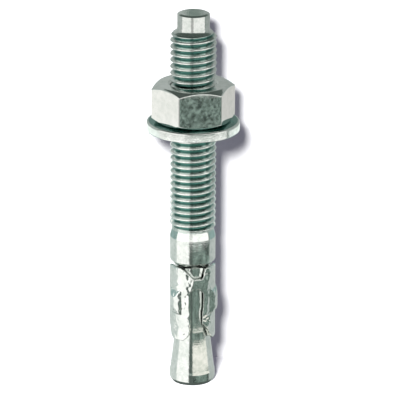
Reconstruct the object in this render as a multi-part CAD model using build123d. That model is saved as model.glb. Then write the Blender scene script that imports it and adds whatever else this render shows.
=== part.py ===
from build123d import *
import os
from math import ceil, cos, degrees, floor, radians, sin, sqrt, tan

os.makedirs("parts", exist_ok=True)

# Wedge anchor M12 x 100: a bolt with a cone end and a rolled thread, an expansion clip bent round
# the neck above the cone, a flat washer and a hex nut.
# All sizes are in millimetres. The anchor stands on its cone end: the origin is the middle of that
# end's face and +Z runs up the bolt. Azimuths are in degrees, from -Y towards +X.

# Bolt, from the cone end up
BOLT_LENGTH = 100.0
CONE_R = 5.93
CONE_END_CHAMFER = 0.53
CONE_END_CHAMFER_HEIGHT = 0.9
CONE_BAND_HEIGHT = 2.0
CONE_STEP = 0.21
CONE_STEP_HEIGHT = 0.6
CONE_TAPER_HEIGHT = 10.8
NECK_R = 4.45
NECK_LENGTH = 17.95
SHOULDER_HEIGHT = 1.65
SHANK_R = 5.93
SHANK_LENGTH = 6.3
RUNOUT_HEIGHT = 1.9
TIP_BEVEL_HEIGHT = 1.0
TIP_BEVEL_R = 5.25
TIP_HOLLOW_HEIGHT = 1.4
DOG_R = 4.17
DOG_LENGTH = 3.7
DOG_CHAMFER = 0.64
DOG_CHAMFER_HEIGHT = 0.3

# Thread: a right-hand 60 degree form, with flat crests on the bolt and in the nut
THREAD_PITCH = 1.75
THREAD_CREST_R = 5.93
THREAD_PITCH_R = 5.45
THREAD_HALF_ANGLE = 30.0

# Expansion clip: one sheet with three leaves, joined by bridges and bent round the neck
CLIP_THICKNESS = 1.2
CLIP_NECK_CLEARANCE = 0.3
CLIP_CONE_CLEARANCE = 0.09
CLIP_SHOULDER_OVERLAP = 0.25
CLIP_EDGE_CHAMFER = 0.4
CLIP_LEAVES = 3
SLOT_AZIMUTH = 10.5
SLOT_WIDTH = 3.3
BULB_WIDTH = 3.9
BULB_HEIGHT = 5.5
BULB_TAPER_HEIGHT = 1.5
BRIDGE_HEIGHT = 2.6
SEAM_GAP = 1.0

# Notch above each slot: a gentle side, a flat and a steep side, about the slot's middle
NOTCH_DEPTH = 2.9
NOTCH_FLAT_BEFORE = 0.7
NOTCH_FLAT_AFTER = 1.75
NOTCH_GENTLE_RUN = 2.9
NOTCH_STEEP_RUN = 0.75
NOTCH_GENTLE_ROUND = 1.5
NOTCH_STEEP_ROUND = 0.6

# Lower corners of each leaf: a small rounded one and a large lobed one
SMALL_CORNER_WIDTH = 2.0
SMALL_CORNER_HEIGHT = 3.7
SMALL_CORNER_R = 4.0
LARGE_CORNER_WIDTH = 3.6
LARGE_CORNER_HEIGHT = 5.0
LOBE_WIDTH = 1.75
LOBE_HEIGHT = 2.75
LOBE_ROUND = 1.0

# Nub pressed out of the middle of each leaf, with a hollow behind it
NUB_HEIGHT = 0.85
NUB_ROUND_R = 2.4
NUB_FOOT_ABOVE_CLIP_FOOT = 7.4
NUB_LENGTH = 6.4
NUB_TOP_RAMP = 2.0
NUB_FOOT_RAMP = 1.7
NUB_FOOT_LIP = 0.25
NUB_WALL = 0.95

# Nut and washer
NUT_ACROSS_FLATS = 19.0
NUT_HEIGHT = 10.0
NUT_TURN = 11.2
NUT_FACE_R = 9.0
NUT_CHAMFER_ANGLE = 30.0
NUT_COUNTERSINK_R = 6.5
NUT_COUNTERSINK_ANGLE = 60.0
NUT_TOP_BELOW_BOLT_END = 18.6
NUT_FLANK_CLEARANCE = 0.12
NUT_THREAD_R = 5.15
WASHER_R = 12.0
WASHER_HOLE_CLEARANCE = 0.57
WASHER_THICKNESS = 2.5
WASHER_RIM_CHAMFER = 0.3

# How far a cutting body stands past the face that it cuts
OVERCUT = 1.0

# Heights that follow from the sizes above
cone_band_z = CONE_END_CHAMFER_HEIGHT + CONE_BAND_HEIGHT
cone_taper_z = cone_band_z + CONE_STEP_HEIGHT
neck_foot_z = cone_taper_z + CONE_TAPER_HEIGHT
neck_top_z = neck_foot_z + NECK_LENGTH
shank_foot_z = neck_top_z + SHOULDER_HEIGHT
shank_top_z = shank_foot_z + SHANK_LENGTH
thread_foot_z = shank_top_z + RUNOUT_HEIGHT
dog_foot_z = BOLT_LENGTH - DOG_LENGTH
tip_hollow_z = dog_foot_z - TIP_HOLLOW_HEIGHT
thread_top_z = tip_hollow_z - TIP_BEVEL_HEIGHT
nut_foot_z = BOLT_LENGTH - NUT_TOP_BELOW_BOLT_END - NUT_HEIGHT
washer_foot_z = nut_foot_z - WASHER_THICKNESS

# The bolt's groove runs down to the radius at which its flanks meet
thread_root_r = THREAD_PITCH_R - THREAD_PITCH / 4 / tan(radians(THREAD_HALF_ANGLE))

# The clip's foot reaches down over the start of the cone, as far as its clearance lets it
cone_slope = (CONE_R - CONE_STEP - NECK_R) / CONE_TAPER_HEIGHT
clip_foot_z = neck_foot_z - (CLIP_NECK_CLEARANCE - CLIP_CONE_CLEARANCE) / cone_slope
clip_top_z = neck_top_z + CLIP_SHOULDER_OVERLAP
clip_inner_r = NECK_R + CLIP_NECK_CLEARANCE
clip_outer_r = clip_inner_r + CLIP_THICKNESS
slot_top_z = clip_top_z - NOTCH_DEPTH - BRIDGE_HEIGHT


def turned(outline):
    """A solid of revolution about the bolt's axis, from a closed outline in radius and height."""
    return revolve(Plane.XZ * make_face(outline), Axis.Z)


def groove_half_width(r, pitch_r):
    """Half the width of the thread's groove at radius r, half a groove being a quarter pitch wide
    at the pitch radius."""
    return THREAD_PITCH / 4 + (r - pitch_r) * tan(radians(THREAD_HALF_ANGLE))


def helix(r, z):
    """One right-hand turn of the thread's helix, starting over +X."""
    return Edge.make_helix(THREAD_PITCH, THREAD_PITCH, r, center=(0, 0, z))


def screw(ridge, start_z, turns, foot_z, top_z):
    """A threaded rod: strips between helices, a plain core at each end and a blunt start and end.
    The ridge is one turn's outline in radius and rise, from its foot to its top."""
    root_r, foot_rise = ridge[0]
    top_rise = ridge[-1][1]
    end_z = start_z + turns * THREAD_PITCH
    faces = []
    for turn in range(turns):
        turn_z = start_z + turn * THREAD_PITCH
        edges = [helix(r, turn_z + rise) for r, rise in ridge]
        if foot_rise > 0:
            edges.insert(0, helix(root_r, turn_z + top_rise - THREAD_PITCH))
        faces += [Face.make_surface_from_curves(low, high) for low, high in zip(edges, edges[1:])]
    foot = Edge.make_circle(root_r, Plane((0, 0, foot_z)), 0, 360)
    top = Edge.make_circle(root_r, Plane((0, 0, top_z)), 0, 360)
    first = helix(root_r, start_z + top_rise - THREAD_PITCH)
    last = helix(root_r, end_z + top_rise - THREAD_PITCH)
    faces.append(Face.make_surface_from_curves(foot, first))
    faces.append(Face.make_surface_from_curves(last, top))
    faces.append(Face(Wire([foot])))
    faces.append(Face(Wire([top])))
    for z in (start_z, end_z):
        corners = [Vector(r, 0, z + rise) for r, rise in ridge]
        faces.append(Face(Wire.make_polygon(corners, close=True)))
    return Solid(Shell(faces))


def threaded_end():
    """The bolt's thread, trimmed to its run-out, the bevel and hollow at its tip and the dog."""
    crest = groove_half_width(THREAD_CREST_R, THREAD_PITCH_R)
    ridge = [
        (thread_root_r, 0),
        (THREAD_CREST_R, crest),
        (THREAD_CREST_R, THREAD_PITCH - crest),
        (thread_root_r, THREAD_PITCH),
    ]
    start_z = thread_foot_z - THREAD_PITCH
    turns = ceil((tip_hollow_z - start_z) / THREAD_PITCH) + 1
    rod = screw(ridge, start_z, turns, start_z - 2 * THREAD_PITCH, BOLT_LENGTH + OVERCUT)
    blank_r = THREAD_CREST_R + NUT_FLANK_CLEARANCE
    runout_r = thread_root_r + NUT_FLANK_CLEARANCE
    start = Polyline(
        (DOG_R, dog_foot_z),
        (DOG_R, BOLT_LENGTH - DOG_CHAMFER_HEIGHT),
        (DOG_R - DOG_CHAMFER, BOLT_LENGTH),
        (0, BOLT_LENGTH),
        (0, thread_foot_z - THREAD_PITCH / 2),
        (runout_r, thread_foot_z - THREAD_PITCH / 2),
        (runout_r, thread_foot_z - RUNOUT_HEIGHT / 6),
        (blank_r, thread_foot_z + THREAD_PITCH / 2),
        (blank_r, thread_top_z),
        (TIP_BEVEL_R, tip_hollow_z),
    )
    hollow = TangentArc((DOG_R, dog_foot_z), (TIP_BEVEL_R, tip_hollow_z), tangent=(0, -1))
    return rod & turned(start + hollow)


def cone_end():
    """The cone, neck, shoulder and shank, up to the thread's run-out at its pitch radius."""
    return turned(Polyline(
        (0, 0),
        (CONE_R - CONE_END_CHAMFER, 0),
        (CONE_R, CONE_END_CHAMFER_HEIGHT),
        (CONE_R, cone_band_z),
        (CONE_R - CONE_STEP, cone_taper_z),
        (NECK_R, neck_foot_z),
        (NECK_R, neck_top_z),
        (SHANK_R, shank_foot_z),
        (SHANK_R, shank_top_z),
        (THREAD_PITCH_R, thread_foot_z),
        (THREAD_PITCH_R, thread_foot_z + THREAD_PITCH / 2),
        (0, thread_foot_z + THREAD_PITCH / 2),
        close=True,
    ))


def anchor_bolt():
    return threaded_end() + cone_end()


def sheet_plane(along):
    """The plane through the axis that faces the sheet, this far round it from the first slot."""
    azimuth = radians(SLOT_AZIMUTH + degrees(along / clip_outer_r))
    return Plane(
        origin=(0, 0, 0),
        x_dir=(cos(azimuth), sin(azimuth), 0),
        z_dir=(sin(azimuth), -cos(azimuth), 0),
    )


def punch(outline, along=0.0):
    """A punch through the sheet on one side, from an outline in width and height."""
    return extrude(sheet_plane(along) * outline, clip_outer_r + OVERCUT)


def rounded(outline, corners):
    """The outline with the listed corners rounded; each is a point and a radius."""
    for point, radius in corners:
        corner = outline.vertices().sort_by_distance(point)[0]
        outline = fillet(corner, radius)
    return outline


def notch_punch():
    """The notch in the clip's top edge, with a strip above it that rounds the leaves' corners."""
    floor_z = clip_top_z - NOTCH_DEPTH
    gentle_top = (-NOTCH_FLAT_BEFORE - NOTCH_GENTLE_RUN, clip_top_z)
    gentle_foot = (-NOTCH_FLAT_BEFORE, floor_z)
    steep_foot = (NOTCH_FLAT_AFTER, floor_z)
    steep_top = (NOTCH_FLAT_AFTER + NOTCH_STEEP_RUN, clip_top_z)
    before = gentle_top[0] - NOTCH_GENTLE_ROUND
    after = steep_top[0] + NOTCH_STEEP_ROUND
    outline = make_face(Polyline(
        (before, clip_top_z),
        gentle_top,
        gentle_foot,
        steep_foot,
        steep_top,
        (after, clip_top_z),
        (after, clip_top_z + OVERCUT),
        (before, clip_top_z + OVERCUT),
        close=True,
    ))
    return punch(rounded(outline, [
        (gentle_top, NOTCH_GENTLE_ROUND),
        (steep_top, NOTCH_STEEP_ROUND),
    ]))


def slot_punch():
    """The slot between two leaves, with a wider bulb and an arched top below the bridge."""
    bulb_r = BULB_WIDTH / 2
    slot_r = SLOT_WIDTH / 2
    arch_z = slot_top_z - bulb_r
    bulb_foot_z = slot_top_z - BULB_HEIGHT
    arch = ThreePointArc((-bulb_r, arch_z), (0, slot_top_z), (bulb_r, arch_z))
    sides = Polyline(
        (bulb_r, arch_z),
        (bulb_r, bulb_foot_z),
        (slot_r, bulb_foot_z - BULB_TAPER_HEIGHT),
        (slot_r, clip_foot_z - OVERCUT),
        (-slot_r, clip_foot_z - OVERCUT),
        (-slot_r, bulb_foot_z - BULB_TAPER_HEIGHT),
        (-bulb_r, bulb_foot_z),
        (-bulb_r, arch_z),
    )
    return punch(make_face(arch + sides))


def small_corner_punch():
    """The rounded lower corner of the leaf before the slot."""
    middle = -(SLOT_WIDTH + SMALL_CORNER_WIDTH) / 2
    edge = SMALL_CORNER_WIDTH / 2
    inside = edge + SLOT_WIDTH / 4
    corner_z = clip_foot_z + SMALL_CORNER_HEIGHT
    curve = RadiusArc((edge, corner_z), (-edge, clip_foot_z), SMALL_CORNER_R)
    rest = Polyline(
        (-edge, clip_foot_z),
        (-edge, clip_foot_z - OVERCUT),
        (inside, clip_foot_z - OVERCUT),
        (inside, corner_z),
        (edge, corner_z),
    )
    return punch(make_face(curve + rest), middle)


def large_corner_punch():
    """The lobed lower corner of the leaf after the slot."""
    middle = (SLOT_WIDTH + LARGE_CORNER_WIDTH) / 2
    edge = -LARGE_CORNER_WIDTH / 2
    inside = edge - SLOT_WIDTH / 4
    corner_z = clip_foot_z + LARGE_CORNER_HEIGHT
    lobe = (edge + LOBE_WIDTH, clip_foot_z + LOBE_HEIGHT)
    outline = make_face(Polyline(
        (edge, corner_z),
        lobe,
        (edge + (LOBE_WIDTH + LARGE_CORNER_WIDTH) / 2, clip_foot_z + LOBE_HEIGHT / 4),
        (-edge, clip_foot_z),
        (-edge, clip_foot_z - OVERCUT),
        (inside, clip_foot_z - OVERCUT),
        (inside, corner_z),
        close=True,
    ))
    return punch(rounded(outline, [(lobe, LOBE_ROUND)]), middle)


def seam_punch():
    """The gap where the sheet's two ends meet, across one of the bridges."""
    height = NOTCH_DEPTH + BRIDGE_HEIGHT + OVERCUT
    return punch(Pos(0, clip_top_z - height / 2 + OVERCUT / 2) * Rectangle(SEAM_GAP, height + OVERCUT))


def pressed_form(base_r, outer_r, round_r, foot_z, length, foot_lip):
    """A rounded boss with a lip and a ramp at its foot and a ramp at its top, over the first slot."""
    top_z = foot_z + length
    side = Plane.XZ * make_face(Polyline(
        (base_r, foot_z),
        (outer_r - NUB_HEIGHT + foot_lip, foot_z),
        (outer_r, foot_z + NUB_FOOT_RAMP),
        (outer_r, top_z - NUB_TOP_RAMP),
        (outer_r - NUB_HEIGHT, top_z),
        (base_r, top_z),
        close=True,
    ))
    slab = extrude(side, round_r, both=True)
    bar = Pos(outer_r - round_r, 0, foot_z) * extrude(Circle(round_r), length)
    return Rot(0, 0, SLOT_AZIMUTH - 90) * (slab & bar)


def expansion_clip():
    """The clip: a sheet cylinder with bevelled inner edges, punched and pressed leaf by leaf."""
    clip = turned(Polyline(
        (clip_inner_r + CLIP_EDGE_CHAMFER, clip_foot_z),
        (clip_outer_r, clip_foot_z),
        (clip_outer_r, clip_top_z),
        (clip_inner_r + CLIP_EDGE_CHAMFER, clip_top_z),
        (clip_inner_r, clip_top_z - CLIP_EDGE_CHAMFER),
        (clip_inner_r, clip_foot_z + CLIP_EDGE_CHAMFER),
        close=True,
    ))
    nub_foot_z = clip_foot_z + NUB_FOOT_ABOVE_CLIP_FOOT
    nub_r = clip_outer_r + NUB_HEIGHT
    nub = pressed_form(
        clip_outer_r - CLIP_THICKNESS / 2,
        nub_r,
        NUB_ROUND_R,
        nub_foot_z,
        NUB_LENGTH,
        NUB_FOOT_LIP,
    )
    hollow = pressed_form(
        clip_inner_r - CLIP_THICKNESS / 2,
        nub_r - NUB_WALL,
        NUB_ROUND_R - NUB_WALL,
        nub_foot_z + NUB_WALL,
        NUB_LENGTH - 2 * NUB_WALL,
        0.0,
    )
    punches = [notch_punch(), slot_punch(), small_corner_punch(), large_corner_punch()]
    step = 360 / CLIP_LEAVES
    for leaf in range(CLIP_LEAVES):
        turn = Rot(0, 0, leaf * step)
        for tool in punches:
            clip -= turn * tool
        half_turn = Rot(0, 0, (leaf + 0.5) * step)
        clip = clip + half_turn * nub - half_turn * hollow
    return clip - Rot(0, 0, step) * seam_punch()


def flat_washer():
    """A plain punched washer with broken rims, right under the nut."""
    hole_r = SHANK_R + WASHER_HOLE_CLEARANCE
    ring = Circle(WASHER_R) - Circle(hole_r)
    washer = Pos(0, 0, washer_foot_z) * extrude(ring, WASHER_THICKNESS)
    rims = washer.edges().filter_by(GeomType.CIRCLE).group_by(SortBy.RADIUS)[-1]
    return chamfer(rims, WASHER_RIM_CHAMFER)


def hex_nut():
    """A hex nut, chamfered and countersunk at both faces, whose thread follows the bolt's helix."""
    corner_r = NUT_ACROSS_FLATS / sqrt(3)
    nut_top_z = nut_foot_z + NUT_HEIGHT
    hexagon = RegularPolygon(NUT_ACROSS_FLATS / 2, 6, major_radius=False, rotation=NUT_TURN)
    prism = Pos(0, 0, nut_foot_z) * extrude(hexagon, NUT_HEIGHT)
    bevel = (corner_r + OVERCUT - NUT_FACE_R) * tan(radians(NUT_CHAMFER_ANGLE))
    barrel = turned(Polyline(
        (0, nut_foot_z),
        (NUT_FACE_R, nut_foot_z),
        (corner_r + OVERCUT, nut_foot_z + bevel),
        (corner_r + OVERCUT, nut_top_z - bevel),
        (NUT_FACE_R, nut_top_z),
        (0, nut_top_z),
        close=True,
    ))
    tap_pitch_r = THREAD_PITCH_R + NUT_FLANK_CLEARANCE
    tap_crest_r = tap_pitch_r + THREAD_PITCH / 4 / tan(radians(THREAD_HALF_ANGLE))
    tap_root = groove_half_width(NUT_THREAD_R, tap_pitch_r)
    ridge = [
        (NUT_THREAD_R, tap_root),
        (tap_crest_r, THREAD_PITCH / 2),
        (NUT_THREAD_R, THREAD_PITCH - tap_root),
    ]
    pitches_up = floor((nut_foot_z - thread_foot_z) / THREAD_PITCH) - 1
    start_z = thread_foot_z + pitches_up * THREAD_PITCH
    turns = ceil(NUT_HEIGHT / THREAD_PITCH) + 3
    reach = 4 * THREAD_PITCH
    tap = screw(ridge, start_z, turns, nut_foot_z - reach, nut_top_z + reach)
    nut = (prism & barrel) - tap
    depth = (NUT_COUNTERSINK_R - thread_root_r) / tan(radians(NUT_COUNTERSINK_ANGLE))
    for face_z, inward in ((nut_foot_z, 1), (nut_top_z, -1)):
        nut -= turned(Polyline(
            (0, face_z - inward * OVERCUT),
            (NUT_COUNTERSINK_R, face_z - inward * OVERCUT),
            (NUT_COUNTERSINK_R, face_z),
            (thread_root_r, face_z + inward * depth),
            (0, face_z + inward * depth),
            close=True,
        ))
    return nut


export_step(anchor_bolt(), "parts/anchor_bolt.step")
export_step(expansion_clip(), "parts/expansion_clip.step")
export_step(flat_washer(), "parts/flat_washer.step")
export_step(hex_nut(), "parts/hex_nut.step")
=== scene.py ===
import math

import bmesh
import bpy
from mathutils import Matrix, Vector


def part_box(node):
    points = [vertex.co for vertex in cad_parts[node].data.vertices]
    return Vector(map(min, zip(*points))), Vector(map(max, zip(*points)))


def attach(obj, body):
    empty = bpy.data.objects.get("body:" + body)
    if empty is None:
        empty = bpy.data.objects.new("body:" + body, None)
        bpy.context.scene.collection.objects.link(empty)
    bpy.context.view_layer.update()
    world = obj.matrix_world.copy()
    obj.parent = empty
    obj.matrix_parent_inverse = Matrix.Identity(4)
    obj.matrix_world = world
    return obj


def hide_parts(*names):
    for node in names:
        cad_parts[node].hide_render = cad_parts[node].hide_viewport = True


bl_info = {
    "name": "Wedge anchor dressing",
    "version": (1, 0, 0),
    "blender": (4, 5, 0),
    "location": "View3D > Sidebar > Anchor",
    "description": "Dresses the packed wedge anchor: rolled thread, pressed clip, washer, nut and studio",
    "category": "Object",
}

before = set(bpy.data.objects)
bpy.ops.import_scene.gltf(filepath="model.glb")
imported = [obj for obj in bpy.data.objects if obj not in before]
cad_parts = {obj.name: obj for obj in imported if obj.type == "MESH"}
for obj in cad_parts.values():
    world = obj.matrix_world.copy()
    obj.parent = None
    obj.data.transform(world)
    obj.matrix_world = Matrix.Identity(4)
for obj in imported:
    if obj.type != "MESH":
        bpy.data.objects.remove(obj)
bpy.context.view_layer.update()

MM = 0.001
bolt_low, bolt_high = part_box("anchor_bolt")
washer_low, washer_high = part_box("flat_washer")
nut_low, nut_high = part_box("hex_nut")

# Radius that the cone end, the plain shank and the thread's crests share
SHAFT_R = 5.93 * MM

# Steps round the bolt's axis. The lathe-turned parts and the thread share them, so that they join.
STEPS = 144
NUT_STEPS = 192
NUT_ARC_STEPS = 6

# Points that a thread has in each pitch
BOLT_POINTS = 16
NUT_POINTS = 12

# Distance of the extra row that keeps a flat surface's shading even beside an edge
SUPPORT = 0.05 * MM

# How far the thread's root departs from a straight flank, as a share of a smooth step
ROOT_ROUND = 0.35

# Points closer than this become one, in a mesh made here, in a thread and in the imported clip
MERGE = 0.001 * MM
THREAD_MERGE = 0.004 * MM
CLIP_MERGE = 0.0005 * MM

# Straight pieces in the arc of a fillet
FILLET_STEPS = 4

# The finish's noises, in repeats for each metre, with the depths of their relief and what the rings'
# place is scaled by, which draws their noise out round the axis
GRAIN_SCALE = 2600.0
GRAIN_DEPTH = 0.05 * MM
SWELL_SCALE = 330.0
SWELL_DEPTH = 1.0 * MM
RING_SCALE = 5200.0
RING_STRETCH = (0.02, 0.02, 1.0)

# Noise between which haze sets in and between which it roughens, the shares of a material's roughness
# that it changes between, and how much more relief it gives than the grain
HAZE_SPAN = (0.35, 0.68)
ROUGH_SPAN = (0.3, 0.7)
ROUGH_SHARES = (0.8, 1.5)
HAZE_RELIEF = 1.5

# Noise between which a card's specks brighten, and the shares of its strength that they change between
SPECK_SPAN = (0.42, 0.62)
SPECK_SHARES = (0.3, 3.2)

# The room's light: from dark to grey round the horizon and down to a share of that overhead, between
# heights given as shares of its radius
ROOM_DARK, ROOM_GREY, ROOM_OVERHEAD = 0.14, 0.31, 0.35
ROOM_HORIZON = (-0.15, 0.2)
ROOM_CEILING = (0.5, 0.95)

# Tints of the cards and the room that the metal mirrors
CREAM = (1.0, 1.0, 0.97)
WARM = (1.0, 0.99, 0.95)
TEAL = (0.66, 0.93, 0.89)
COOL = (0.92, 1.0, 0.96)
CONE_TINT = (1.0, 0.98, 0.9)
SHADE_TINT = (0.76, 1.0, 0.88)
ROOM_TINT = (0.80, 1.0, 0.90)

# Columns of the ring of cards, from one angle to the other in degrees from the front, right being +X
CARD_COLUMNS = {
    "far_left": (-178, -84), "left": (-84, -17), "middle": (-17, 0), "front": (0, 84), "right": (90, 178),
}

# Rows of the ring of cards, named for what mirrors them: foot and top in millimetres, the tint of the
# two outer columns and the strength in each column, where 0 leaves the card out
CARD_ROWS = {
    "clip": (-40, 21.6, COOL, (0.80, 1.30, 0, 0, 0.62)),
    "shank": (21.6, 24.2, COOL, (0.80, 1.25, 0.85, 1.20, 0.62)),
    "low_thread": (24.2, 46.5, TEAL, (0.50, 1.80, 0.95, 1.35, 0.50)),
    "washer": (46.5, 54.6, COOL, (1.30, 1.50, 1.40, 1.50, 1.20)),
    "nut": (54.6, 66, WARM, (1.10, 0.60, 0, 0, 0.70)),
    "high_thread": (66, 75, TEAL, (0.55, 1.60, 1.15, 1.55, 0.55)),
    "dog": (75, 130, COOL, (0.50, 1.10, 0.50, 1.05, 0.42)),
}


def length(name, description, default):
    """A size that a user would change."""
    return bpy.props.FloatProperty(
        name=name, description=description, default=default, subtype="DISTANCE", unit="LENGTH", precision=5
    )


def angle(name, description, degrees):
    """An angle that a user would change."""
    return bpy.props.FloatProperty(
        name=name, description=description, default=math.radians(degrees), subtype="ANGLE", unit="ROTATION"
    )


def number(name, description, default):
    """A plain number that a user would change."""
    return bpy.props.FloatProperty(name=name, description=description, default=default)


def colour(name, description, default):
    """A colour that a user would change."""
    return bpy.props.FloatVectorProperty(
        name=name, description=description, default=default, subtype="COLOR", size=3, min=0.0, max=1.0
    )


class ANCHOR_PG_bolt(bpy.types.PropertyGroup):
    """Sizes of the bolt."""
    cone_r: length("Cone radius", "Largest radius of the cone end", SHAFT_R)
    cone_chamfer: length("Cone end chamfer", "Radial size of the chamfer at the cone's foot", 0.53 * MM)
    cone_chamfer_height: length("Chamfer height", "Height of that chamfer", 0.9 * MM)
    cone_chamfer_round: length("Chamfer round", "Fillet at the chamfer's upper edge", 0.25 * MM)
    cone_band_top: length("Cone band top", "Top of the short cylinder above the chamfer", 2.9 * MM)
    cone_band_round: length("Cone band round", "Fillet at the band's upper edge", 0.6 * MM)
    cone_step: length("Cone step", "How much the cone steps in above the band", 0.21 * MM)
    cone_taper_foot: length("Taper foot", "Where the cone's taper begins", 3.5 * MM)
    cone_taper_round: length("Taper round", "Fillet where the taper begins", 0.9 * MM)
    neck_r: length("Neck radius", "Radius of the neck under the clip", 4.45 * MM)
    neck_foot: length("Neck foot", "Where the cone runs into the neck", 14.3 * MM)
    neck_foot_round: length("Neck foot round", "Fillet where the cone runs into the neck", 4.0 * MM)
    neck_top: length("Neck top", "Where the neck runs into the shoulder", 32.25 * MM)
    neck_top_round: length("Neck top round", "Fillet under the shoulder", 0.5 * MM)
    shank_r: length("Shank radius", "Radius of the plain shank", SHAFT_R)
    shank_foot: length("Shank foot", "Lower end of the plain shank", 33.9 * MM)
    shank_foot_round: length("Shank foot round", "Fillet at the shank's lower end", 0.3 * MM)
    shank_top: length("Shank top", "Upper end of the plain shank", 40.2 * MM)
    shank_top_round: length("Shank top round", "Fillet at the shank's upper end", 0.9 * MM)
    runout_r: length("Run-out radius", "Radius of the band below the thread", 5.45 * MM)
    thread_foot: length("Thread foot", "Lower end of the thread", 42.1 * MM)
    dog_r: length("Dog radius", "Radius of the plain dog at the tip", 4.17 * MM)
    dog_foot: length("Dog foot", "Lower end of the dog", 96.3 * MM)
    dog_chamfer: length("Dog chamfer", "Radial size of the dog's chamfer", 0.64 * MM)
    dog_chamfer_height: length("Dog chamfer height", "Height of that chamfer", 0.3 * MM)
    dog_round: length("Dog round", "Fillet at the chamfer's lower edge", 0.2 * MM)


class ANCHOR_PG_thread(bpy.types.PropertyGroup):
    """Sizes of the thread on the bolt and in the nut."""
    pitch: length("Pitch", "Rise of the thread in one turn", 1.75 * MM)
    crest_r: length("Crest radius", "Radius of the bolt's thread over its crests", SHAFT_R)
    root_r: length("Root radius", "Radius at the bottom of the bolt's thread", 4.72 * MM)
    crest_width: length("Crest width", "Width of the flat crest", 0.32 * MM)
    runout_slope: number("Run-out slope", "Radius lost for each unit of height above the run-out", 2.0)
    bevel_slope: number("Bevel slope", "Radius gained for each unit below the bevel's edge", 0.8)
    bevel_r: length("Bevel radius", "Radius at the bevel's upper edge", 5.25 * MM)
    hollow_height: length("Hollow height", "Height of the hollow between bevel and dog", 1.4 * MM)
    nut_r: length("Nut thread radius", "Radius over the nut's own crests", 5.15 * MM)
    nut_groove_r: length("Nut groove radius", "Radius at the bottom of the nut's groove", 6.33 * MM)


class ANCHOR_PG_nut(bpy.types.PropertyGroup):
    """Sizes of the nut and the washer."""
    across_flats: length("Across flats", "Width of the nut over two flats", 19.0 * MM)
    face_r: length("Face radius", "Radius of the nut's flat faces", 9.0 * MM)
    chamfer_angle: angle("Chamfer angle", "Slope of the nut's chamfers", 30.0)
    turn: angle("Turn", "Angle of the nut's first corner from +X", 11.2)
    corner_round: length("Corner round", "Radius of the nut's upright edges", 0.35 * MM)
    edge_round: length("Edge round", "Size of the worn edges of the nut's chamfers", 0.15 * MM)
    countersink_r: length("Countersink radius", "Radius of the countersink at the faces", 6.5 * MM)
    countersink_slope: number("Countersink slope", "Radius lost for each unit of depth", 1.732)
    washer_hole_r: length("Washer hole radius", "Radius of the washer's hole", 6.5 * MM)
    washer_round: length("Washer round", "Radius of the washer's upper outer edge", 0.5 * MM)
    washer_under_round: length("Washer under round", "Radius of the washer's lower outer edge", 0.3 * MM)
    washer_hole_round: length("Washer hole round", "Radius of the hole's upper edge", 0.3 * MM)
    washer_hole_under_round: length("Washer hole under round", "Radius of the hole's lower edge", 0.2 * MM)


class ANCHOR_PG_clip(bpy.types.PropertyGroup):
    """Finish of the clip."""
    voxel: length("Voxel", "Size of the grid that rounds the punched edges", 0.13 * MM)
    smoothing: bpy.props.IntProperty(
        name="Smoothing", description="Rounds of smoothing of the punched edges", default=5, min=0, max=40
    )


class ANCHOR_PG_finish(bpy.types.PropertyGroup):
    """Colours of the zinc plating, and of the painted shade in its recesses."""
    bright: colour("Bright zinc", "Clean plating", (0.80, 0.815, 0.80))
    dull: colour("Dull zinc", "Thin or hazy plating", (0.50, 0.56, 0.52))
    # The dark colour is painted shade, tinted with the plating's green: it darkens the thread's roots and the
    # washer's top around the nut.
    dark: colour("Dark zinc", "Plating in the thread's roots and on the washer's top", (0.12, 0.27, 0.24))


class ANCHOR_PG_studio(bpy.types.PropertyGroup):
    """Camera, light and backdrop."""
    elevation: angle("Elevation", "Camera above the horizon", 18.94)
    roll: angle("Roll", "Lean of the picture", 0.27)
    distance: length("Distance", "Camera from its target", 0.8)
    lens: number("Lens", "Focal length in millimetres", 277.8)
    target_x: length("Target side", "Sideways place of the camera's target", 1.85 * MM)
    target_z: length("Target height", "Height of the camera's target", 49.65 * MM)
    floor_reach: length("Floor reach", "Half the floor's width", 3.0)
    floor_tone: colour("Floor tone", "Colour of the floor", (0.97, 0.97, 0.97))
    floor_glow: number("Floor glow", "Glow of the floor near the part", 0.16)
    backdrop_y: length("Backdrop distance", "Upright backdrop behind the bolt's axis", 14.5 * MM)
    backdrop_side: length("Backdrop side", "Half the backdrop's width", 62 * MM)
    backdrop_height: length("Backdrop height", "Height of the backdrop", 125 * MM)
    backdrop_tone: colour("Backdrop tone", "Colour of the backdrop", (0.65, 0.65, 0.65))
    backdrop_glow: number("Backdrop glow", "Glow of the backdrop near the part", 0.14)
    shadow_tint: colour("Shadow tint", "Colour of the glow in a shadow", (0.76, 0.72, 1.0))
    glow_start: length("Glow start", "Distance from the part where the glow begins to rise", 0.13)
    glow_end: length("Glow end", "Distance from the part where the glow is full", 0.22)
    full_glow: number("Full glow", "Glow far from the part", 1.4)
    key_turn: angle("Key turn", "Direction of the key lamp from the front, right being positive", -9.4)
    key_rise: angle("Key rise", "Height of the key lamp above the horizon", 27.4)
    key_distance: length("Key distance", "Key lamp from the middle of the bolt", 0.9)
    key_size: length("Key size", "Side of the key lamp", 0.14)
    key_power: number("Key power", "Power of the key lamp in watts", 18.0)
    room_r: length("Room radius", "Radius of the room that the metal mirrors", 0.25)
    card_r: length("Card radius", "Radius of the ring of cards that the metal mirrors", 60 * MM)
    near_card_r: length("Near card radius", "Radius of the two dark cards at the front", 26 * MM)
    cone_card_r: length("Cone card radius", "Radius of the card that the cone mirrors", 20 * MM)
    world_fill: number("World fill", "World light on matt surfaces", 0.02)


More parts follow.
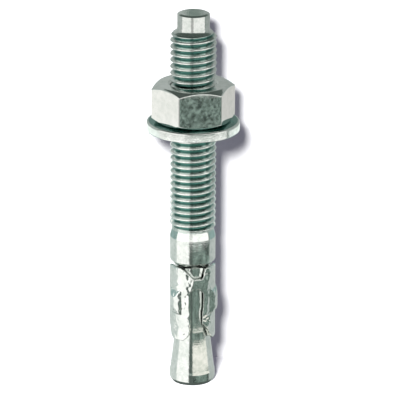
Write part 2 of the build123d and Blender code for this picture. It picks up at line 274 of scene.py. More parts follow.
class Tree:
    """Adds nodes to a node tree. A value that is a socket is linked, and any other is set."""

    def __init__(self, tree):
        self.tree = tree

    def set(self, socket, value):
        if isinstance(value, bpy.types.NodeSocket):
            self.tree.links.new(value, socket)
        elif value is not None:
            socket.default_value = value

    def new(self, kind, inputs=None, **settings):
        node = self.tree.nodes.new(kind)
        for name, value in settings.items():
            setattr(node, name, value)
        for name, value in (inputs or {}).items():
            self.set(node.inputs[name], value)
        return node

    def math(self, operation, a, b=None, c=None):
        node = self.new("ShaderNodeMath", operation=operation)
        for socket, value in zip(node.inputs, (a, b, c)):
            self.set(socket, value)
        return node.outputs[0]

    def span(self, value, low, high, to_low, to_high, smooth=False):
        """Maps value from low..high to to_low..to_high, held at both ends."""
        node = self.new(
            "ShaderNodeMapRange",
            {"Value": value, "From Min": low, "From Max": high, "To Min": to_low, "To Max": to_high},
            clamp=True,
            interpolation_type="SMOOTHSTEP" if smooth else "LINEAR",
        )
        return node.outputs["Result"]

    def noise(self, place, scale, **inputs):
        """Noise over the given place, with the scale in repeats for each unit of it."""
        return self.new("ShaderNodeTexNoise", {"Vector": place, "Scale": scale, **inputs}).outputs["Fac"]

    def mix(self, share, first, second):
        """The first colour, with a share of the second one."""
        node = self.new("ShaderNodeMix", {"Factor": share}, data_type="RGBA")
        self.set(node.inputs["A"], first)
        self.set(node.inputs["B"], second)
        return node.outputs["Result"]


def new_object(name, mesh):
    piece = bpy.data.objects.new(name, mesh)
    bpy.context.scene.collection.objects.link(piece)
    return piece


def mesh_from(name, points, faces):
    """A smooth-shaded mesh from points and faces, with its doubles merged and normals outwards."""
    mesh = bpy.data.meshes.new(name)
    mesh.from_pydata([tuple(p) for p in points], [], faces)
    shape = bmesh.new()
    shape.from_mesh(mesh)
    bmesh.ops.remove_doubles(shape, verts=shape.verts, dist=MERGE)
    bmesh.ops.recalc_face_normals(shape, faces=shape.faces)
    for face in shape.faces:
        face.smooth = True
    shape.to_mesh(mesh)
    shape.free()
    return mesh


def rounded(outline):
    """The outline's points in radius and height, with an arc in place of each corner that has a third
    number, its fillet's radius. A point beyond each end of an arc keeps the shading of the straight
    part next to it even."""
    result = []
    for i, (r, z, *fillet) in enumerate(outline):
        if not fillet:
            result.append((r, z))
            continue
        corner = Vector((r, z))
        before = (Vector(outline[i - 1][:2]) - corner).normalized()
        after = (Vector(outline[(i + 1) % len(outline)][:2]) - corner).normalized()
        half = before.angle(after) / 2
        reach = fillet[0] / math.tan(half)
        centre = corner + (before + after).normalized() * fillet[0] / math.sin(half)
        start = corner + before * reach - centre
        turn = start.angle_signed(corner + after * reach - centre)
        result.append(tuple(corner + before * (reach + SUPPORT)))
        for step in range(FILLET_STEPS + 1):
            point = centre + Matrix.Rotation(-turn * step / FILLET_STEPS, 2) @ start
            result.append((point.x, point.y))
        result.append(tuple(corner + after * (reach + SUPPORT)))
    return result


def ring(radius, z):
    """Points of a level circle."""
    angles = [2 * math.pi * step / STEPS for step in range(STEPS)]
    return [(radius * math.cos(a), radius * math.sin(a), z) for a in angles]


def lathe(outline, closed=False):
    """Points and faces of a turned shape, from its outline in radius and height."""
    points = [point for r, z in outline for point in ring(r, z)]
    faces = []
    for row in range(len(outline) if closed else len(outline) - 1):
        for step in range(STEPS):
            a = row * STEPS + step
            b = row * STEPS + (step + 1) % STEPS
            up = (row + 1) % len(outline) * STEPS
            faces.append((a, b, up + b % STEPS, up + a % STEPS))
    return points, faces


def disc(radius, z):
    """Points and one face of a flat end."""
    return ring(radius, z), [tuple(range(STEPS))]


def joined(*shapes):
    """Several lists of points and faces as one."""
    points, faces = [], []
    for more_points, more_faces in shapes:
        first = len(points)
        points += more_points
        faces += [tuple(first + i for i in face) for face in more_faces]
    return points, faces


def bolt_blank(sizes):
    """The turned parts of the bolt: cone, neck, shoulder and shank below the thread, and the dog."""
    foot_r = sizes.cone_r - sizes.cone_chamfer
    top_r = sizes.dog_r - sizes.dog_chamfer
    below = rounded([
        (foot_r - SUPPORT, bolt_low.z),
        (foot_r, bolt_low.z),
        (sizes.cone_r, sizes.cone_chamfer_height, sizes.cone_chamfer_round),
        (sizes.cone_r, sizes.cone_band_top, sizes.cone_band_round),
        (sizes.cone_r - sizes.cone_step, sizes.cone_taper_foot, sizes.cone_taper_round),
        (sizes.neck_r, sizes.neck_foot, sizes.neck_foot_round),
        (sizes.neck_r, sizes.neck_top, sizes.neck_top_round),
        (sizes.shank_r, sizes.shank_foot, sizes.shank_foot_round),
        (sizes.shank_r, sizes.shank_top, sizes.shank_top_round),
        (sizes.runout_r, sizes.thread_foot),
    ])
    above = rounded([
        (sizes.dog_r, sizes.dog_foot),
        (sizes.dog_r, bolt_high.z - sizes.dog_chamfer_height, sizes.dog_round),
        (top_r, bolt_high.z),
        (top_r - SUPPORT, bolt_high.z),
    ])
    return joined(
        lathe(below),
        lathe(above),
        disc(foot_r - SUPPORT, bolt_low.z),
        disc(top_r - SUPPORT, bolt_high.z),
    )


def thread_inputs(tree, lengths, slopes):
    """The tree's named inputs: the blank, the thread's lengths and slopes, its counts and the material."""
    face = tree.interface
    face.new_socket("Blank", in_out="INPUT", socket_type="NodeSocketGeometry")
    for name in lengths:
        face.new_socket(name, in_out="INPUT", socket_type="NodeSocketFloat").subtype = "DISTANCE"
    for name in slopes:
        face.new_socket(name, in_out="INPUT", socket_type="NodeSocketFloat")
    for name in ("Turns", "Steps", "Points in a pitch"):
        face.new_socket(name, in_out="INPUT", socket_type="NodeSocketInt")
    face.new_socket("Turn", in_out="INPUT", socket_type="NodeSocketFloat").subtype = "ANGLE"
    face.new_socket("Material", in_out="INPUT", socket_type="NodeSocketMaterial")
    face.new_socket("Threaded", in_out="OUTPUT", socket_type="NodeSocketGeometry")
    return tree.nodes.new("NodeGroupInput").outputs


def helical_grid(t, given):
    """A grid wound up the axis along the thread. Gives its mesh, angle, height and distance from the
    ridge as a share of the pitch."""
    columns = t.math("MULTIPLY_ADD", given["Turns"], given["Points in a pitch"], 1)
    rows = t.math("ADD", given["Steps"], 1)
    grid = t.new("GeometryNodeMeshGrid", {
        "Size X": 1.0, "Size Y": 1.0, "Vertices X": columns, "Vertices Y": rows,
    }).outputs["Mesh"]
    place = t.new("ShaderNodeSeparateXYZ", {0: t.new("GeometryNodeInputPosition").outputs[0]}).outputs
    along = t.math("MULTIPLY", t.math("ADD", place["X"], 0.5), given["Turns"])
    round_share = t.math("ADD", place["Y"], 0.5)
    turned_to = t.math("MULTIPLY_ADD", round_share, 2 * math.pi, given["Turn"])
    turned = t.math("DIVIDE", turned_to, 2 * math.pi)
    height = t.math("MULTIPLY_ADD", t.math("ADD", along, turned), given["Pitch"], given["Start height"])
    height = t.math("MINIMUM", t.math("MAXIMUM", height, given["Foot height"]), given["Top height"])
    # The nudge keeps rounding from moving a point to the pitch before its own.
    nudge = 1.0e-4
    phase = t.math("FRACT", t.math("ADD", along, nudge))
    from_ridge = t.math("ABSOLUTE", t.math("SUBTRACT", phase, 0.5))
    return grid, turned_to, height, from_ridge


def flank(t, given, from_ridge):
    """The thread's radius: a flat crest, a straight flank and a rounded root."""
    crest = t.math("DIVIDE", given["Crest width"], t.math("MULTIPLY", given["Pitch"], 2.0))
    crest_r, root_r = given["Crest radius"], given["Root radius"]
    straight = t.span(from_ridge, crest, 0.5, crest_r, root_r)
    eased = t.span(from_ridge, crest, 0.5, crest_r, root_r, smooth=True)
    return t.math("MULTIPLY_ADD", t.math("SUBTRACT", eased, straight), ROOT_ROUND, straight)


def wound(t, given, grid, turned_to, height, radius, inward):
    """Puts the grid's points in place, joins it to the blank, closes the seams and sets the material."""
    place = t.new("ShaderNodeCombineXYZ", {
        "X": t.math("MULTIPLY", radius, t.math("COSINE", turned_to)),
        "Y": t.math("MULTIPLY", radius, t.math("SINE", turned_to)),
        "Z": height,
    }).outputs[0]
    shape = t.new("GeometryNodeSetPosition", {"Geometry": grid, "Position": place}).outputs[0]
    if not inward:
        shape = t.new("GeometryNodeFlipFaces", {"Mesh": shape}).outputs[0]
    both = t.new("GeometryNodeJoinGeometry")
    t.tree.links.new(given["Blank"], both.inputs[0])
    t.tree.links.new(shape, both.inputs[0])
    shape = t.new("GeometryNodeMergeByDistance", {
        "Geometry": both.outputs[0], "Distance": THREAD_MERGE,
    }).outputs[0]
    shape = t.new("GeometryNodeSetShadeSmooth", {"Geometry": shape}).outputs[0]
    shape = t.new("GeometryNodeRealizeInstances", {"Geometry": shape}).outputs[0]
    shape = t.new("GeometryNodeSetMaterial", {"Geometry": shape, "Material": given["Material"]}).outputs[0]
    t.tree.links.new(shape, t.new("NodeGroupOutput").inputs[0])


def run_out(t, given, height, radius):
    """The radius with the thread running out into the band below it."""
    above_foot = t.math("SUBTRACT", height, given["Foot height"])
    half_pitch = t.math("MULTIPLY", given["Pitch"], 0.5)
    start_r = t.math("SUBTRACT", given["Run-out radius"], half_pitch)
    lead = t.span(above_foot, 0.0, half_pitch, start_r, given["Crest radius"])
    past = t.math("MAXIMUM", t.math("SUBTRACT", above_foot, half_pitch), 0.0)
    lost = t.math("MULTIPLY", past, given["Run-out slope"])
    fill = t.math("SUBTRACT", given["Run-out radius"], lost)
    return t.math("MAXIMUM", t.math("MINIMUM", radius, lead), fill)


def bevel_and_hollow(t, given, height, radius):
    """The radius with the bevel at the thread's end and the hollow up to the dog."""
    below_top = t.math("SUBTRACT", given["Top height"], height)
    past_hollow = t.math("MAXIMUM", t.math("SUBTRACT", below_top, given["Hollow height"]), 0.0)
    bevel = t.math("MULTIPLY_ADD", past_hollow, given["Bevel slope"], given["Bevel radius"])
    drop = t.math("SUBTRACT", given["Bevel radius"], given["Dog radius"])
    squares = t.math("ADD", t.math("POWER", drop, 2.0), t.math("POWER", given["Hollow height"], 2.0))
    sweep = t.math("DIVIDE", squares, t.math("MULTIPLY", drop, 2.0))
    down = t.math("MINIMUM", below_top, given["Hollow height"])
    chord = t.math("SQRT", t.math("SUBTRACT", t.math("POWER", sweep, 2.0), t.math("POWER", down, 2.0)))
    hollow = t.math("ADD", given["Dog radius"], t.math("SUBTRACT", sweep, chord))
    # Below the hollow its radius grows so steeply that only the bevel counts.
    steep = 20.0
    hollow = t.math("MULTIPLY_ADD", past_hollow, steep, hollow)
    return t.math("MINIMUM", t.math("MINIMUM", radius, bevel), hollow)


def bolt_thread_tree():
    """The bolt's thread, with its run-out below and its bevel and hollow above."""
    tree = bpy.data.node_groups.new("Bolt thread", "GeometryNodeTree")
    given = thread_inputs(tree, [
        "Pitch", "Crest radius", "Root radius", "Crest width", "Start height", "Foot height", "Top height",
        "Run-out radius", "Bevel radius", "Hollow height", "Dog radius",
    ], ["Run-out slope", "Bevel slope"])
    t = Tree(tree)
    grid, turned_to, height, from_ridge = helical_grid(t, given)
    radius = flank(t, given, from_ridge)
    radius = run_out(t, given, height, radius)
    radius = bevel_and_hollow(t, given, height, radius)
    wound(t, given, grid, turned_to, height, radius, inward=False)
    return tree


def nut_thread_tree():
    """The nut's own thread, between a countersink at each face."""
    tree = bpy.data.node_groups.new("Nut thread", "GeometryNodeTree")
    given = thread_inputs(tree, [
        "Pitch", "Crest radius", "Root radius", "Crest width", "Start height", "Foot height", "Top height",
        "Countersink radius",
    ], ["Countersink slope"])
    t = Tree(tree)
    grid, turned_to, height, from_ridge = helical_grid(t, given)
    radius = flank(t, given, from_ridge)
    for depth in (
        t.math("SUBTRACT", height, given["Foot height"]),
        t.math("SUBTRACT", given["Top height"], height),
    ):
        lost = t.math("MULTIPLY", depth, given["Countersink slope"])
        radius = t.math("MAXIMUM", radius, t.math("SUBTRACT", given["Countersink radius"], lost))
    wound(t, given, grid, turned_to, height, radius, inward=True)
    return tree


def keep_result(piece):
    """Makes what the piece's modifiers give its plain mesh."""
    bpy.context.view_layer.update()
    seen = piece.evaluated_get(bpy.context.evaluated_depsgraph_get())
    mesh = bpy.data.meshes.new_from_object(seen)
    piece.modifiers.clear()
    piece.data = mesh


def run_tree(piece, tree, values):
    """Runs the tree on the piece and keeps the result as its plain mesh."""
    modifier = piece.modifiers.new(tree.name, "NODES")
    modifier.node_group = tree
    for item in tree.interface.items_tree:
        if item.in_out == "INPUT" and item.name in values:
            modifier[item.identifier] = values[item.name]
    keep_result(piece)


def empty_material(name):
    """A material without nodes yet, and the Tree that adds them."""
    material = bpy.data.materials.new(name)
    material.use_nodes = True
    material.node_tree.nodes.clear()
    return material, Tree(material.node_tree)


def with_painted_shade(t, place, base, dark, inner, outer, foot, top):
    """The base colour with painted shade, turning dark from the outer radius to the inner one, between foot
    and top.
    """
    x, y, z = t.new("ShaderNodeSeparateXYZ", {0: place}).outputs
    radius = t.math("SQRT", t.math("ADD", t.math("POWER", x, 2.0), t.math("POWER", y, 2.0)))
    depth = t.span(radius, inner, outer, 1.0, 0.0, smooth=True)
    inside = t.math("MULTIPLY", t.math("GREATER_THAN", z, foot), t.math("LESS_THAN", z, top))
    return t.mix(t.math("MULTIPLY", depth, inside), base, (*dark, 1))


def zinc_material(name, finish, blotch, rough, bump, blotch_share=0.5, rings=0.0, waves=0.0, painted_shade_part=None):
    """Bright zinc plating: hazy blotches, a fine grain, rings where the piece was turned and waves
    where it was pressed. A part given for painted shade holds the inner and outer radius and the foot
    and top between which painted shade darkens the plating."""
    material, t = empty_material(name)
    place = t.new("ShaderNodeTexCoord").outputs["Object"]
    haze = t.noise(place, blotch, Detail=6.0, Roughness=0.6)
    cloud = t.noise(place, blotch / 4, Detail=3.0)
    both = t.math("MULTIPLY_ADD", cloud, 0.5, t.math("MULTIPLY", haze, 0.5))
    share = t.math("MULTIPLY", t.span(both, *HAZE_SPAN, 0.0, 1.0, smooth=True), blotch_share)
    base = t.mix(share, (*finish.bright, 1), (*finish.dull, 1))
    # Painted shade: the thread's roots or the washer's top turn to the dark colour.
    if painted_shade_part:
        base = with_painted_shade(t, place, base, finish.dark, **painted_shade_part)
    roughness = t.span(haze, *ROUGH_SPAN, *(rough * share for share in ROUGH_SHARES))
    grain = t.noise(place, GRAIN_SCALE, Detail=4.0)
    height = t.math("ADD", grain, t.math("MULTIPLY", haze, HAZE_RELIEF))
    if rings:
        drawn_out = t.new("ShaderNodeMapping", {"Vector": place, "Scale": RING_STRETCH}).outputs[0]
        height = t.math("MULTIPLY_ADD", t.noise(drawn_out, RING_SCALE, Detail=2.0), rings, height)
    relief = t.new("ShaderNodeBump", {"Height": height, "Strength": bump, "Distance": GRAIN_DEPTH}).outputs[0]
    if waves:
        swell = t.noise(place, SWELL_SCALE, Detail=2.0)
        relief = t.new(
            "ShaderNodeBump", {"Height": swell, "Strength": waves, "Distance": SWELL_DEPTH, "Normal": relief}
        ).outputs[0]
    shader = t.new("ShaderNodeBsdfPrincipled", {
        "Base Color": base, "Roughness": roughness, "Normal": relief, "Metallic": 1.0,
    })
    t.new("ShaderNodeOutputMaterial", {"Surface": shader.outputs[0]})
    return material


def dress(piece, body, node):
    """Lets the piece ride on its body and stand for its node."""
    if not piece.data.polygons:
        raise RuntimeError(piece.name + " came out without faces")
    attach(piece, body)
    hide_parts(node)


class ANCHOR_OT_bolt(bpy.types.Operator):
    """Makes the bolt: turned blank and rolled thread"""
    bl_idname = "anchor.bolt"
    bl_label = "Bolt"

    def execute(self, context):
        sizes = context.scene.anchor_bolt
        thread = context.scene.anchor_thread
        piece = new_object("bolt", mesh_from("bolt", *bolt_blank(sizes)))
        material = zinc_material(
            "zinc_bolt", context.scene.anchor_finish, blotch=900.0, rough=0.10, bump=0.25, blotch_share=0.6,
            # Painted shade in the thread's grooves, from below the crest down to the root.
            rings=0.8, painted_shade_part={
                "inner": thread.root_r + 0.1 * MM,
                "outer": thread.crest_r - 0.2 * MM,
                "foot": sizes.thread_foot,
                "top": sizes.dog_foot - thread.hollow_height,
            },
        )
        # The grid starts two pitches down. What lies below the thread's foot is pressed flat there.
        spare = 2
        run_tree(piece, bolt_thread_tree(), {
            "Pitch": thread.pitch,
            "Crest radius": thread.crest_r,
            "Root radius": thread.root_r,
            "Crest width": thread.crest_width,
            "Start height": sizes.thread_foot - spare * thread.pitch,
            "Foot height": sizes.thread_foot,
            "Top height": sizes.dog_foot,
            "Run-out radius": sizes.runout_r,
            "Run-out slope": thread.runout_slope,
            "Bevel radius": thread.bevel_r,
            "Bevel slope": thread.bevel_slope,
            "Hollow height": thread.hollow_height,
            "Dog radius": sizes.dog_r,
            "Turns": math.ceil((sizes.dog_foot - sizes.thread_foot) / thread.pitch) + spare,
            "Steps": STEPS,
            "Points in a pitch": BOLT_POINTS,
            "Turn": 0.0,
            "Material": material,
        })
        dress(piece, "bolt", "anchor_bolt")
        return {"FINISHED"}


def towards(turned_to):
    """The level direction at an angle from +X."""
    return Vector((math.cos(turned_to), math.sin(turned_to)))


def corner_arc(sizes, corner, first, last):
    """Points first to last of the arc at one of the nut's corners."""
    facing = sizes.turn + corner * math.pi / 3
    centre = towards(facing) * (sizes.across_flats / 2 - sizes.corner_round) / math.cos(math.pi / 6)
    angles = [facing + (step / NUT_ARC_STEPS - 0.5) * math.pi / 3 for step in range(first, last)]
    return [centre + towards(a) * sizes.corner_round for a in angles]


def hex_outline(sizes):
    """The nut's outline seen from above, NUT_STEPS points from its first corner."""
    half_flat = sizes.across_flats / 2
    side = (half_flat - sizes.corner_round) * math.tan(math.pi / 6)
    flat_steps = NUT_STEPS // 6 - NUT_ARC_STEPS
    half_arc = NUT_ARC_STEPS // 2
    outline = []
    for corner in range(6):
        outline += corner_arc(sizes, corner, half_arc, NUT_ARC_STEPS + 1)
        facing = sizes.turn + (corner + 0.5) * math.pi / 3
        out = towards(facing) * half_flat
        along = towards(facing + math.pi / 2)
        for step in range(1, flat_steps):
            outline.append(out + along * side * (2 * step / flat_steps - 1))
        outline += corner_arc(sizes, corner + 1, 0, half_arc)
    return outline


def nut_shell(sizes):
    """The nut's outside: faces, chamfers and flats, column by column from its first corner."""
    slope = math.tan(sizes.chamfer_angle)
    edge = sizes.edge_round
    # The face's edge lies lower by sink. The chamfer's outer edge begins to turn down at far from the
    # outline, and has turned down by dip at near.
    sink, near, far, dip = 0.25 * edge, 0.35 * edge, 1.5 * edge, 0.10 * edge
    columns = []
    for step, outer in enumerate(hex_outline(sizes)):
        inner = towards(sizes.turn + 2 * math.pi * step / NUT_STEPS)
        out = outer.normalized()
        reach = outer.length
        drop = (reach - sizes.face_r) * slope
        upper = [
            (inner * sizes.countersink_r, 0.0),
            (inner * (sizes.countersink_r + SUPPORT), 0.0),
            (out * (sizes.face_r - edge - SUPPORT), 0.0),
            (out * (sizes.face_r - edge), 0.0),
            (out * sizes.face_r, -sink),
            (out * (sizes.face_r + edge), -edge * slope),
            (out * (sizes.face_r + edge + SUPPORT), -(edge + SUPPORT) * slope),
            (out * (reach - far), -(drop - far * slope)),
            (out * (reach - near), -drop - dip),
            (outer, -drop - edge),
            (outer, -drop - edge - SUPPORT),
        ]
        column = [(place, nut_high.z + down) for place, down in upper]
        column += [(place, nut_low.z - down) for place, down in reversed(upper)]
        columns.append([(place.x, place.y, z) for place, z in column])
    rows = len(columns[0])
    points = [point for column in columns for point in column]
    faces = []
    for step in range(NUT_STEPS):
        here, after = step * rows, (step + 1) % NUT_STEPS * rows
        for row in range(rows - 1):
            faces.append((here + row, here + row + 1, after + row + 1, after + row))
    return points, faces


class ANCHOR_OT_nut(bpy.types.Operator):
    """Makes the nut: chamfered hexagon and its own thread"""
    bl_idname = "anchor.nut"
    bl_label = "Nut"

    def execute(self, context):
        sizes = context.scene.anchor_nut
        thread = context.scene.anchor_thread
        thread_foot = context.scene.anchor_bolt.thread_foot
        points, faces = nut_shell(sizes)
        mesh = bpy.data.meshes.new("nut")
        mesh.from_pydata(points, [], faces)
        piece = new_object("nut", mesh)
        # The grid starts at least two pitches below the nut and ends as far above it, half a pitch out
        # of step with the bolt's. What lies past a face is pressed flat there.
        spare = 2
        pitches = math.floor((nut_low.z - thread_foot) / thread.pitch) - spare
        material = zinc_material(
            "zinc_nut", context.scene.anchor_finish, blotch=700.0, rough=0.07, bump=0.05, blotch_share=0.35
        )
        run_tree(piece, nut_thread_tree(), {
            "Pitch": thread.pitch,
            "Crest radius": thread.nut_r,
            "Root radius": thread.nut_groove_r,
            "Crest width": thread.crest_width,
            "Start height": thread_foot + (pitches + 0.5) * thread.pitch,
            "Foot height": nut_low.z,
            "Top height": nut_high.z,
            "Countersink radius": sizes.countersink_r,
            "Countersink slope": sizes.countersink_slope,
            "Turns": math.ceil((nut_high.z - nut_low.z) / thread.pitch) + 2 * spare,
            "Steps": NUT_STEPS,
            "Points in a pitch": NUT_POINTS,
            "Turn": sizes.turn,
            "Material": material,
        })
        dress(piece, "nut", "hex_nut")
        return {"FINISHED"}


class ANCHOR_OT_washer(bpy.types.Operator):
    """Makes the washer"""
    bl_idname = "anchor.washer"
    bl_label = "Washer"

    def execute(self, context):
        sizes = context.scene.anchor_nut
        inner, outer = sizes.washer_hole_r, washer_high.x
        middle = (inner + outer) / 2
        outline = rounded([
            (inner, washer_low.z, sizes.washer_hole_under_round),
            (middle, washer_low.z),
            (outer, washer_low.z, sizes.washer_under_round),
            (outer, washer_high.z, sizes.washer_round),
            (middle, washer_high.z),
            (inner, washer_high.z, sizes.washer_hole_round),
        ])
        piece = new_object("washer", mesh_from("washer", *lathe(outline, closed=True)))
        # Painted shade darkens only the top face, around the nut, and its outer edge is left out of it.
        piece.data.materials.append(zinc_material(
            "zinc_washer", context.scene.anchor_finish, blotch=600.0, rough=0.16, bump=0.25, painted_shade_part={
                "inner": outer - 0.7 * MM,
                "outer": outer - 0.3 * MM,
                "foot": washer_high.z - 0.1 * MM,
                "top": washer_high.z + 1.0 * MM,
            },
        ))
        dress(piece, "washer", "flat_washer")
        return {"FINISHED"}


class ANCHOR_OT_clip(bpy.types.Operator):
    """Makes the clip: the punched sheet with rounded edges"""
    bl_idname = "anchor.clip"
    bl_label = "Clip"

    def execute(self, context):
        finish = context.scene.anchor_clip
        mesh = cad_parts["expansion_clip"].data.copy()
        mesh.name = "clip"
        shape = bmesh.new()
        shape.from_mesh(mesh)
        bmesh.ops.remove_doubles(shape, verts=shape.verts, dist=CLIP_MERGE)
        shape.to_mesh(mesh)
        shape.free()
        piece = new_object("clip", mesh)
        grid = piece.modifiers.new("Grid", "REMESH")
        grid.mode = "VOXEL"
        grid.voxel_size = finish.voxel
        grid.use_smooth_shade = True
        ease = piece.modifiers.new("Ease", "SMOOTH")
        ease.factor = 0.5
        ease.iterations = finish.smoothing
        keep_result(piece)
        piece.data.materials.clear()
        piece.data.materials.append(zinc_material(
            "zinc_clip", context.scene.anchor_finish, blotch=420.0, rough=0.14, bump=0.22, waves=0.9
        ))
        dress(piece, "clip", "expansion_clip")
        return {"FINISHED"}


def stage_material(name, tone, glow, studio, one_sided=False):
    """A matt stage material that also glows, little near the part and fully far from it."""
    material, t = empty_material(name)
    matt = t.new("ShaderNodeBsdfDiffuse", {"Color": (*tone, 1)}).outputs[0]
    place = t.new("ShaderNodeTexCoord").outputs["Object"]
    away = t.new("ShaderNodeVectorMath", {0: place}, operation="LENGTH").outputs["Value"]
    strength = t.span(away, studio.glow_start, studio.glow_end, glow, studio.full_glow)
    light = t.new("ShaderNodeEmission", {"Color": (*studio.shadow_tint, 1), "Strength": strength}).outputs[0]
    surface = t.new("ShaderNodeAddShader", {0: matt, 1: light}).outputs[0]
    if one_sided:
        behind = t.new("ShaderNodeNewGeometry").outputs["Backfacing"]
        clear = t.new("ShaderNodeBsdfTransparent").outputs[0]
        surface = t.new("ShaderNodeMixShader", {0: behind, 1: surface, 2: clear}).outputs[0]
    t.new("ShaderNodeOutputMaterial", {"Surface": surface})
    return material


def stage_sheet(name, corners, material):
    """A flat sheet of the stage, which nothing mirrors and nothing takes light from."""
    mesh = bpy.data.meshes.new(name)
    mesh.from_pydata(corners, [], [(0, 1, 2, 3)])
    mesh.materials.append(material)
    sheet = new_object(name, mesh)
    sheet.visible_glossy = False
    sheet.visible_diffuse = False
    return sheet


def floor_and_backdrop(studio):
    """The floor that the anchor stands on, and the upright backdrop that takes its shadow."""
    reach = studio.floor_reach
    stage_sheet(
        "floor",
        [(-reach, -reach, 0), (reach, -reach, 0), (reach, reach, 0), (-reach, reach, 0)],
        stage_material("pale_floor", studio.floor_tone, studio.floor_glow, studio),
    )
    y, side, high = studio.backdrop_y, studio.backdrop_side, studio.backdrop_height
    backdrop = stage_sheet(
        "backdrop",
        [(-side, y, 0), (side, y, 0), (side, y, high), (-side, y, high)],
        stage_material("pale_backdrop", studio.backdrop_tone, studio.backdrop_glow, studio, one_sided=True),
    )
    backdrop.visible_shadow = False


def place_camera(scene, studio):
    """The camera as the photo was taken: from the front, looking down through a long lens."""
    target = Vector((studio.target_x, 0.0, studio.target_z))
    back = Vector((0.0, -math.cos(studio.elevation), math.sin(studio.elevation)))
    camera = new_object("camera", bpy.data.cameras.new("camera"))
    camera.data.lens = studio.lens
    camera.data.clip_start = 0.01
    camera.location = target + back * studio.distance
    turn = (-back).to_track_quat("-Z", "Y").to_matrix() @ Matrix.Rotation(studio.roll, 3, "Z")
    camera.rotation_euler = turn.to_euler()
    scene.camera = camera


def key_lamp(studio):
    """The soft square lamp that casts the shadow. The metal mirrors the cards in its place."""
    lamp = bpy.data.lights.new("key", "AREA")
    lamp.shape = "RECTANGLE"
    lamp.size = lamp.size_y = studio.key_size
    lamp.energy = studio.key_power
    aim = Vector((0, 0, bolt_high.z / 2))
    turn, rise = studio.key_turn, studio.key_rise
    out = Vector((math.sin(turn) * math.cos(rise), -math.cos(turn) * math.cos(rise), math.sin(rise)))
    holder = new_object("key", lamp)
    holder.location = aim + out * studio.key_distance
    holder.rotation_euler = (-out).to_track_quat("-Z", "Y").to_euler()
    holder.visible_glossy = False


def only_mirrored(piece):
    """Lets the piece show in reflections and nowhere else."""
    piece.visible_camera = False
    piece.visible_diffuse = False
    piece.visible_shadow = False
    piece.visible_transmission = False


def glow_material(name, tint, strength, specks=None):
    """A card that only glows, evenly or in specks of the given scale across and up."""
    material, t = empty_material(name)
    if specks:
        across, up = specks
        place = t.new("ShaderNodeTexCoord").outputs["Object"]
        place = t.new("ShaderNodeMapping", {"Vector": place, "Scale": (across, across, up)}).outputs[0]
        noise = t.noise(place, 1.0, Detail=3.0)
        strength = t.span(noise, *SPECK_SPAN, *(share * strength for share in SPECK_SHARES))
    light = t.new("ShaderNodeEmission", {"Color": (*tint, 1), "Strength": strength}).outputs[0]
    t.new("ShaderNodeOutputMaterial", {"Surface": light})
    return material


def mirrored_card(name, radius, left, right, foot, top, tint, strength, specks=None):
    """An upright curved card round the bolt's axis, between two angles from the front, right being
    +X, and between two heights in millimetres."""
    degrees_a_step = 5
    count = max(2, round((right - left) / degrees_a_step))
    angles = [math.radians(left + (right - left) * step / count) for step in range(count + 1)]
    points = [(radius * math.sin(a), -radius * math.cos(a), z * MM) for z in (foot, top) for a in angles]
    faces = [(i, i + 1, i + count + 2, i + count + 1) for i in range(count)]
    mesh = bpy.data.meshes.new(name)
    mesh.from_pydata(points, [], faces)
    mesh.materials.append(glow_material(name, tint, strength, specks))
    only_mirrored(new_object(name, mesh))


def mirrored_cards(studio):
    """The ring of cards, one more for the cone's front and two dark ones, whose specks show in the
    nut's front flat and in the clip's slot."""
    for row, (foot, top, side_tint, strengths) in CARD_ROWS.items():
        for (column, (left, right)), strength in zip(CARD_COLUMNS.items(), strengths):
            if strength:
                tint = side_tint if column in ("far_left", "right") else CREAM
                mirrored_card(
                    "card_" + row + "_" + column, studio.card_r, left, right, foot, top, tint, strength
                )
    mirrored_card(
        "card_cone", studio.cone_card_r, left=2, right=84, foot=0.5, top=9, tint=CONE_TINT, strength=1.1
    )
    mirrored_card(
        "card_nut_front", studio.near_card_r, left=-4, right=44, foot=65.8, top=75.6,
        tint=SHADE_TINT, strength=0.15, specks=(1800, 1800),
    )
    mirrored_card(
        "card_clip_front", studio.near_card_r, left=0, right=84, foot=-10, top=32.2,
        tint=SHADE_TINT, strength=0.17, specks=(110, 900),
    )


def mirrored_room(radius):
    """The room that the metal mirrors: dark below and overhead, and grey behind."""
    mesh = bpy.data.meshes.new("surround")
    shape = bmesh.new()
    bmesh.ops.create_icosphere(shape, subdivisions=4, radius=radius)
    shape.to_mesh(mesh)
    shape.free()
    material, t = empty_material("surround")
    place = t.new("ShaderNodeTexCoord").outputs["Object"]
    height = t.new("ShaderNodeSeparateXYZ", {0: place}).outputs["Z"]
    low = t.span(height, *(share * radius for share in ROOM_HORIZON), ROOM_DARK, ROOM_GREY, smooth=True)
    high = t.span(height, *(share * radius for share in ROOM_CEILING), 1.0, ROOM_OVERHEAD, smooth=True)
    light = t.new("ShaderNodeEmission", {"Color": (*ROOM_TINT, 1), "Strength": t.math("MULTIPLY", low, high)})
    t.new("ShaderNodeOutputMaterial", {"Surface": light.outputs[0]})
    mesh.materials.append(material)
    only_mirrored(new_object("surround", mesh))


def white_world(scene, fill):
    """White for the camera and for mirrored and clear surfaces, and nearly dark for matt ones."""
    world = bpy.data.worlds.new("studio")
    scene.world = world
    world.use_nodes = True
    world.node_tree.nodes.clear()
    t = Tree(world.node_tree)
    path = t.new("ShaderNodeLightPath").outputs
    through = t.math("MAXIMUM", path["Is Glossy Ray"], path["Is Transmission Ray"])
    seen = t.math("MAXIMUM", path["Is Camera Ray"], through)
    strength = t.span(seen, 0.0, 1.0, fill, 1.0)
    sky = t.new("ShaderNodeBackground", {"Color": (1, 1, 1, 1), "Strength": strength})
    t.new("ShaderNodeOutputWorld", {"Surface": sky.outputs[0]})


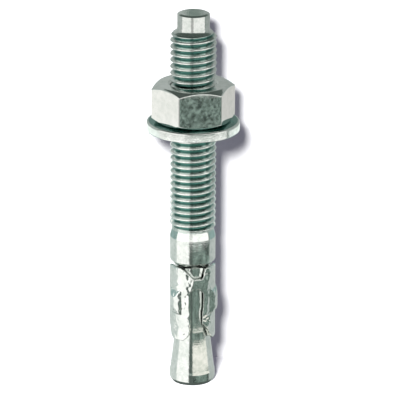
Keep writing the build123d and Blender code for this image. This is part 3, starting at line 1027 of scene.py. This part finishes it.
class ANCHOR_OT_studio(bpy.types.Operator):
    """Makes the floor, backdrop, lamp, cards, world and camera"""
    bl_idname = "anchor.studio"
    bl_label = "Studio"

    def execute(self, context):
        scene = context.scene
        studio = scene.anchor_studio
        place_camera(scene, studio)
        floor_and_backdrop(studio)
        key_lamp(studio)
        mirrored_room(studio.room_r)
        mirrored_cards(studio)
        white_world(scene, studio.world_fill)
        scene.view_settings.view_transform = "Standard"
        return {"FINISHED"}


class ANCHOR_PT_panel(bpy.types.Panel):
    """Lists the anchor's pieces, its stage and their settings."""
    bl_label = "Wedge anchor"
    bl_idname = "ANCHOR_PT_panel"
    bl_space_type = "VIEW_3D"
    bl_region_type = "UI"
    bl_category = "Anchor"

    def draw(self, context):
        for operator in OPERATORS:
            self.layout.operator(operator.bl_idname)
        for name in SETTINGS:
            group = getattr(context.scene, name)
            box = self.layout.box()
            for setting in group.__annotations__:
                box.prop(group, setting)


OPERATORS = (ANCHOR_OT_bolt, ANCHOR_OT_clip, ANCHOR_OT_washer, ANCHOR_OT_nut, ANCHOR_OT_studio)
SETTINGS = {
    "anchor_bolt": ANCHOR_PG_bolt,
    "anchor_thread": ANCHOR_PG_thread,
    "anchor_nut": ANCHOR_PG_nut,
    "anchor_clip": ANCHOR_PG_clip,
    "anchor_finish": ANCHOR_PG_finish,
    "anchor_studio": ANCHOR_PG_studio,
}


def register():
    for group in SETTINGS.values():
        bpy.utils.register_class(group)
    for kind in (*OPERATORS, ANCHOR_PT_panel):
        bpy.utils.register_class(kind)
    for name, group in SETTINGS.items():
        setattr(bpy.types.Scene, name, bpy.props.PointerProperty(type=group))


def unregister():
    for name in SETTINGS:
        delattr(bpy.types.Scene, name)
    for kind in reversed((*SETTINGS.values(), *OPERATORS, ANCHOR_PT_panel)):
        bpy.utils.unregister_class(kind)


def main():
    register()
    bpy.ops.anchor.bolt()
    bpy.ops.anchor.clip()
    bpy.ops.anchor.washer()
    bpy.ops.anchor.nut()
    bpy.ops.anchor.studio()


if __name__ == "__main__":
    main()
